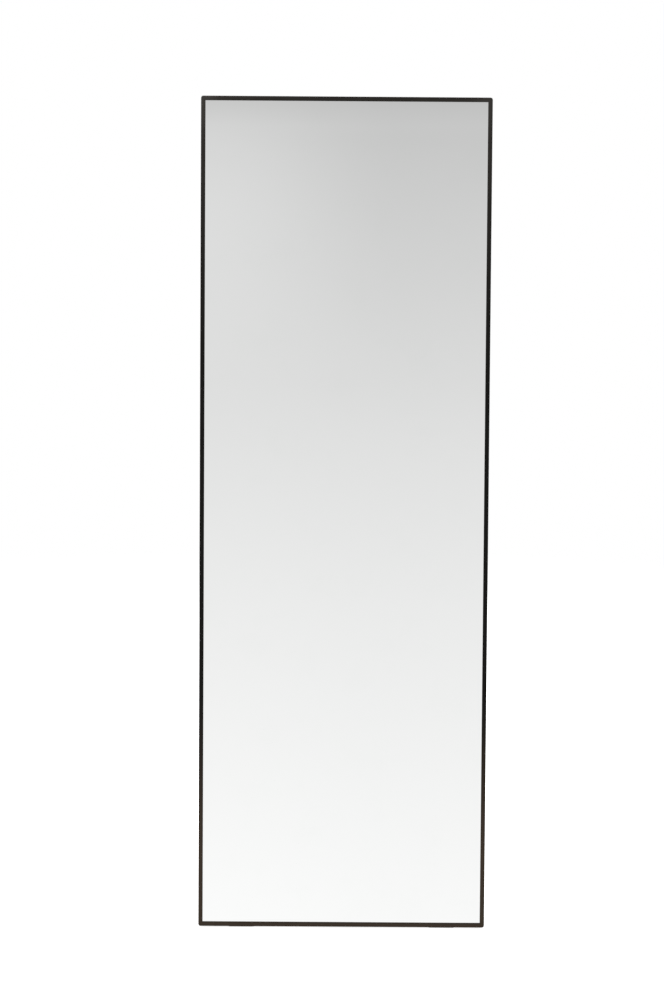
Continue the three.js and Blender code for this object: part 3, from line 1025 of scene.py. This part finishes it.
# %% The strap with its rolled eye
STRAP_STEEL = 1.3
STRAP_END_STEPS = 20
WIRE_RADIUS = 1.3
EYE_PLAY = 0.3  # between the wire and the eye
EYE_OUTER = WIRE_RADIUS + EYE_PLAY + STRAP_STEEL
EYE_TURN = math.radians(295)
EYE_STEPS = 30
HANGER_SCREWS = (-22, -37)  # heights of the two screws, from the eye's centre


def hanger_strap(width, length):
    """A strap whose blank starts at z = 0 and lies on y = 0, with its eye above it."""
    round_end = arc((0, width / 2 - length), width / 2, 180, 360, STRAP_END_STEPS)
    points = [(width / 2, 0), (-width / 2, 0)] + round_end
    bm = stamped(points, [(0, z) for z in HANGER_SCREWS], 0, STRAP_STEEL)
    top = max(bm.faces, key=lambda face: face.normal.z * (face.calc_center_median().z + length))
    bmesh.ops.spin(
        bm,
        geom=with_rim([top]),
        cent=(0, EYE_OUTER, 0),
        axis=(-1, 0, 0),
        angle=EYE_TURN,
        steps=EYE_STEPS,
    )
    face_outwards(bm)
    return ease(bm, sharp_edges(bm), STAMPED_EDGE, 1)


measure_trial("a strap", hanger_strap(12, 45))

# %% The ring
WIRE_SIDES = 20
RING_HALF_WIDTH = 8.9
RING_STRAIGHT = 6.4
RING_SHOULDER = 5.0  # from the axle down to where the round bow starts
RING_BEND = RING_HALF_WIDTH - RING_STRAIGHT
BEND_STEPS = 12
BOW_STEPS = 48


def wire_ring():
    """A D-shaped ring about the X axis, bent from one wire, with a butt joint on top."""
    bm = bmesh.new()
    where = Matrix.Translation((GAP / 2, 0, 0)) @ Matrix.Rotation(QUARTER, 4, "Y")
    bmesh.ops.create_circle(bm, cap_ends=True, segments=WIRE_SIDES, radius=WIRE_RADIUS, matrix=where)
    end = bm.faces[:]

    def feed(x, z):
        grown = bmesh.ops.extrude_face_region(bm, geom=end)["geom"]
        face = only(bmesh.types.BMFace, grown)[0]
        bmesh.ops.translate(bm, verts=face.verts, vec=(x, 0, z))
        end[:] = with_rim([face])

    def bend(x, z, angle, steps):
        bent = bmesh.ops.spin(bm, geom=end, cent=(x, 0, z), axis=(0, 1, 0), angle=angle, steps=steps)
        end[:] = bent["geom_last"]

    feed(RING_STRAIGHT - GAP / 2, 0)
    bend(RING_STRAIGHT, -RING_BEND, QUARTER, BEND_STEPS)
    feed(0, RING_BEND - RING_SHOULDER)
    bend(0, -RING_SHOULDER, 2 * QUARTER, BOW_STEPS)
    feed(0, RING_SHOULDER - RING_BEND)
    bend(-RING_STRAIGHT, -RING_BEND, QUARTER, BEND_STEPS)
    feed(RING_STRAIGHT - GAP / 2, 0)
    return face_outwards(bm)


measure_trial("a ring", wire_ring())

# %% Pan-head screws
HEAD_RADIUS = 3.8
HEAD_HEIGHT = 2.4
HEAD_WALL = 0.35  # share of the height that is straight before the dome
HEAD_FLAT = 1.9  # radius of the flat top round the socket
HEAD_SIDES = 48
DOME_STEPS = 10
HEAD_KEY = 2.5
HEAD_SOCKET = 1.4


def pan_head_screw(tip, seat):
    """A screw whose head sits on the depth called seat and whose tip is in front of it."""
    bm = threaded_rod(SCREW_RADIUS, tip + TIP_LENGTH, seat)
    flat = math.acos(HEAD_FLAT / HEAD_RADIUS)
    rise = HEAD_HEIGHT * (1 - HEAD_WALL) / math.sin(flat)
    dome = [
        (HEAD_RADIUS * out, seat + HEAD_HEIGHT * HEAD_WALL + up * rise)
        for out, up in arc((0, 0), 1, 0, math.degrees(flat), DOME_STEPS)
    ]
    lathe(bm, [(HEAD_RADIUS, seat)] + dome, HEAD_SIDES)
    bmesh.ops.triangle_fill(bm, use_beauty=True, use_dissolve=False, edges=edges_at(bm, seat))
    close_with_socket(bm, dome[-1][1], HEAD_KEY, HEAD_SOCKET)
    close_with_tip(bm, tip + TIP_LENGTH)
    return face_outwards(bm)


measure_trial("a pan-head screw", pan_head_screw(0, 6))

# %% Both hangers
for side in ("left", "right"):
    joint = next(j for j in frame["joints"] if j["name"] == f"{side}_ring_swing")
    axle = LEANING.inverted() @ Vector(joint["pos_m"])
    base = axle.y - EYE_OUTER
    low, high = on_bench(f"{side}_hanger_strap")
    at = Matrix.Translation((axle.x, base, axle.z))
    strap = hanger_strap(high.x - low.x, axle.z - low.z)
    hand_over(strap, f"{side}_strap_with_eye", f"{side}_hanger_strap", [zinc_finish], at)
    plumb = Matrix.Translation(axle) @ Matrix.Rotation(LEAN, 4, "X")
    ring = hand_over(wire_ring(), f"{side}_wire_ring", f"{side}_hanger_ring", [nickel_finish], plumb)
    low, high = on_bench(f"{side}_nut_plate")
    points = [(low.x, low.z), (high.x, low.z), (high.x, high.z), (low.x, high.z)]
    nut_plate = stamped(points, [(axle.x, axle.z + z) for z in HANGER_SCREWS], low.y, high.y)
    ease(nut_plate, sharp_edges(nut_plate), STAMPED_EDGE, 1)
    hand_over(nut_plate, f"{side}_channel_nut_plate", f"{side}_nut_plate", [zinc_finish])
    for number, z in enumerate(HANGER_SCREWS, start=1):
        node = f"{side}_hanger_screw_{number}"
        low, high = on_bench(node)
        screw = pan_head_screw(low.y, high.y - HEAD_HEIGHT)
        at = Matrix.Translation((axle.x, 0, axle.z + z))
        hand_over(screw, f"{side}_pan_head_screw_{number}", node, [zinc_finish], at)
    print(side, "ring has", len(ring.data.polygons), "faces")

# %% [markdown]
# ## Rubber
# Four bumpers keep the frame off the wall, and two wedges under the bottom rail stand flat on the
# floor while the frame leans. A bumper is turned, so it is a profile spun round. A wedge is a block
# whose sole is one slanting cut, with shallow pockets pressed into it for grip.

# %% Bumpers
BUMPER_SIDES = 48
BUMPER_PROFILE = [(0, 0), (1, 0), (1, 0.3), (0.8, 1), (0, 1)]  # shares of its radius and height
BUMPER_EDGE = 0.45


def bumper(radius, height):
    """A turned disc with its base on y = 0."""
    bm = bmesh.new()
    lathe(bm, [(radius * out, height * up) for out, up in BUMPER_PROFILE], BUMPER_SIDES)
    face_outwards(bm)
    return ease(bm, sharp_edges(bm, angle=math.radians(12)), BUMPER_EDGE, 3)


for corner in CORNER_PLACES:
    node = f"{corner}_bumper"
    low, high = on_bench(node)
    at = Matrix.Translation(((low.x + high.x) / 2, low.y, (low.z + high.z) / 2))
    disc = bumper((high.x - low.x) / 2, high.y - low.y)
    piece = hand_over(disc, f"{corner}_wall_bumper", node, [rubber_finish], at)
print("a bumper has", len(piece.data.polygons), "faces")

# %% Feet
FOOT_CORNER = 5.0
FOOT_EDGE = 0.4
GRIP_ROWS = 12
GRIP_RIM = 0.8
GRIP_DEPTH = 0.35


def wedge_foot(low, high):
    """A block with a sole that is level once the frame leans, and pockets in it."""
    bm = block(low, high)
    upright = [e for e in bm.edges if abs((e.verts[1].co - e.verts[0].co).normalized().z) > 0.9]
    ease(bm, upright, FOOT_CORNER, 6)
    heel = Vector((0, high.y, low.z + (high.y - low.y) * math.tan(LEAN)))
    down = Vector((0, math.sin(LEAN), -math.cos(LEAN)))
    slice_off(bm, heel, down)
    ease(bm, sharp_edges(bm), FOOT_EDGE)
    for row in range(1, GRIP_ROWS):
        x = low.x + (high.x - low.x) * row / GRIP_ROWS
        saw(bm, (x, 0, 0), (1, 0, 0), clear=False)
    sole = [face for face in bm.faces if face.normal.dot(down) > 0.999]
    pockets = sorted(sole, key=lambda face: face.calc_center_median().x)[1:-1]
    bmesh.ops.inset_individual(bm, faces=pockets, thickness=GRIP_RIM, depth=-GRIP_DEPTH)
    return bm


for side in ("left", "right"):
    low, high = on_bench(f"{side}_foot")
    piece = hand_over(wedge_foot(low, high), f"{side}_wedge_foot", f"{side}_foot", [rubber_finish])
    print(piece.name, len(piece.data.polygons), "faces")

# %% [markdown]
# ## The studio
# The mirror shows what stands in front of it, so the room matters more than on other objects. The
# photograph's glass goes from white at the foot to grey at the top, which is a pale floor and a
# wall that gets darker upwards. A wall could be built, but it would stand in the way of every other
# view. The world's background does the same from all directions, and a camera ray sees plain white.
# Its tones are written against the height of the view, in degrees above the horizon. Nearer to the
# mirror the floor gets greyer, so that from above the glass still stands out from a white floor.
# The photograph's glass is a little darker on the right too, so the wall gets a shade there.

# %% The room that the glass looks into
ROOM_TONES = [
    (-90, 0.78),
    (-35, 0.84),
    (-14, 0.93),
    (-9, 1.04),
    (-7.5, 1.045),
    (0, 0.91),
    (5.5, 0.79),
    (9.5, 0.775),
    (11.0, 0.745),
    (12.1, 0.695),
    (12.6, 0.61),
    (35, 0.52),
    (60, 0.75),
    (90, 0.95),
]
ROOM_BEHIND = 0.95
TOWARDS_FRONT = (0.25, -0.25)  # where the room behind gives way to the one ahead
RIGHT_SIDE = (-0.055, 0.035)  # where the shade sets in, across the view
SHADE_BELOW, SHADE_ABOVE, SHADE_LOST = 0.02, 0.125, 0.055  # shares of the wall's tone
SHADE_RISES = (4, 11)  # degrees above the horizon
SHADE_FADES = (11.5, 12.6)


def raised(graph, z, angles):
    """0 below the first of two angles above the horizon, and 1 above the second."""
    return stepped(graph, z, *(math.sin(math.radians(angle)) for angle in angles))


def room():
    world = bpy.data.worlds.new("studio")
    bpy.context.scene.world = world
    graph = Graph(world)
    direction = graph.node("ShaderNodeTexCoord", out="Generated")
    x, y, z = (part_of(graph, direction, axis) for axis in "XYZ")
    elevation = graph.node("ShaderNodeMath", {"operation": "ARCSINE"}, {0: z}) * (1 / math.pi) + 0.5
    stops = [(0.5 + degrees / 180, (tone,) * 3) for degrees, tone in ROOM_TONES]
    wall = graph.node("ShaderNodeValToRGB", {"stops": stops}, {"Fac": elevation}, out="Color")
    upper = raised(graph, z, SHADE_RISES)
    highest = raised(graph, z, SHADE_FADES)
    right = stepped(graph, x, *RIGHT_SIDE)
    shade = 1 - right * (SHADE_BELOW + SHADE_ABOVE * upper - SHADE_LOST * highest)
    front = stepped(graph, y, *TOWARDS_FRONT)
    ahead = graph.node("ShaderNodeVectorMath", {"operation": "SCALE"}, {"Vector": wall, "Scale": shade})
    seen = between(graph, front, (ROOM_BEHIND,) * 3, ahead)
    to_camera = graph.node("ShaderNodeLightPath", out="Is Camera Ray")
    colour = between(graph, to_camera, seen, (1, 1, 1))
    background = graph.node("ShaderNodeBackground", None, {"Color": colour, "Strength": 1.0})
    graph.node("ShaderNodeOutputWorld", None, {"Surface": background})


room()
print("the room has", len(ROOM_TONES), "tones")

# %% The floor
FLOOR_RADIUS = 4.5
FLOOR_SIDES = 96
FLOOR_FADE = 2.6  # metres from the middle to where the floor starts to fade out
FLOOR_GLOW = 0.85  # so that the shade under the bottom rail stays faint
PAPER_WHITE = ((0.88, 0.88, 0.88), (0.90, 0.90, 0.90))


def floor_paper():
    material = bpy.data.materials.new("floor_paper")
    graph = Graph(material)
    where = graph.node("ShaderNodeTexCoord", out="Object")
    distance = graph.node("ShaderNodeVectorMath", {"operation": "LENGTH"}, {0: where}, out="Value")
    tooth = noise(graph, where, 900, detail=2)
    surfaced(
        graph,
        Base_Color=between(graph, tooth, *PAPER_WHITE),
        Roughness=0.9,
        Emission_Color=(1, 1, 1, 1),
        Emission_Strength=FLOOR_GLOW,
        Alpha=stepped(graph, distance, FLOOR_RADIUS, FLOOR_FADE),
    )
    return material


bm = bmesh.new()
bmesh.ops.create_circle(bm, cap_ends=True, segments=FLOOR_SIDES, radius=FLOOR_RADIUS)
mesh = bpy.data.meshes.new("floor")
bm.to_mesh(mesh)
bm.free()
mesh.materials.append(floor_paper())
floor = bpy.data.objects.new("floor", mesh)
bpy.context.scene.collection.objects.link(floor)
floor.visible_glossy = False
floor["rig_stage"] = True
print("the floor is", 2 * FLOOR_RADIUS, "m across")


# %% Soft lights
MIRROR_MIDDLE = Vector((0, 0, 0.9))


def softbox(name, place, size, power):
    """A square lamp that looks at the middle of the mirror."""
    lamp = bpy.data.lights.new(name, "AREA")
    lamp.shape = "RECTANGLE"
    lamp.size = lamp.size_y = size
    lamp.energy = power
    holder = bpy.data.objects.new(name, lamp)
    holder.location = place
    holder.rotation_euler = (MIRROR_MIDDLE - Vector(place)).to_track_quat("-Z", "Y").to_euler()
    bpy.context.scene.collection.objects.link(holder)


SOFTBOXES = {
    "front_softbox": ((-1.3, -1.9, 5.2), 2.0, 130),
    "rear_softbox": ((2.0, 3.4, 3.2), 1.6, 70),
}

for name, (place, size, power) in SOFTBOXES.items():
    softbox(name, place, size, power)
    print(name, "is", size, "m wide and gives", power, "W")

# %% [markdown]
# ## The camera
# The lens and the place were worked out from the frame's real size and from its corners in the
# photograph. The camera stands five metres away at about eye height, looks slightly down, and is
# turned and tilted by less than half a degree.

# %% The photograph's camera
CAMERA_PLACE = (-0.0365, -5.0, 1.7635)
CAMERA_YAW = math.radians(0.113)
CAMERA_PITCH = math.radians(9.2795)
CAMERA_ROLL = math.radians(0.4041)
LENS = 82.82
SENSOR = 36

camera = bpy.data.objects.new("camera", bpy.data.cameras.new("camera"))
camera.data.lens = LENS
camera.data.sensor_width = SENSOR
aimed = Matrix.Rotation(-CAMERA_YAW, 4, "Z") @ Matrix.Rotation(QUARTER - CAMERA_PITCH, 4, "X")
rolled = aimed @ Matrix.Rotation(CAMERA_ROLL, 4, "Z")
camera.matrix_world = Matrix.Translation(CAMERA_PLACE) @ rolled
bpy.context.scene.collection.objects.link(camera)
bpy.context.scene.camera = camera
bpy.context.scene.view_settings.view_transform = "Standard"
print("a", LENS, "mm lens")

# %% The sizes, and the end
low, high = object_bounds()
print("the mirror stands", round(high[2] / MM), "mm high")
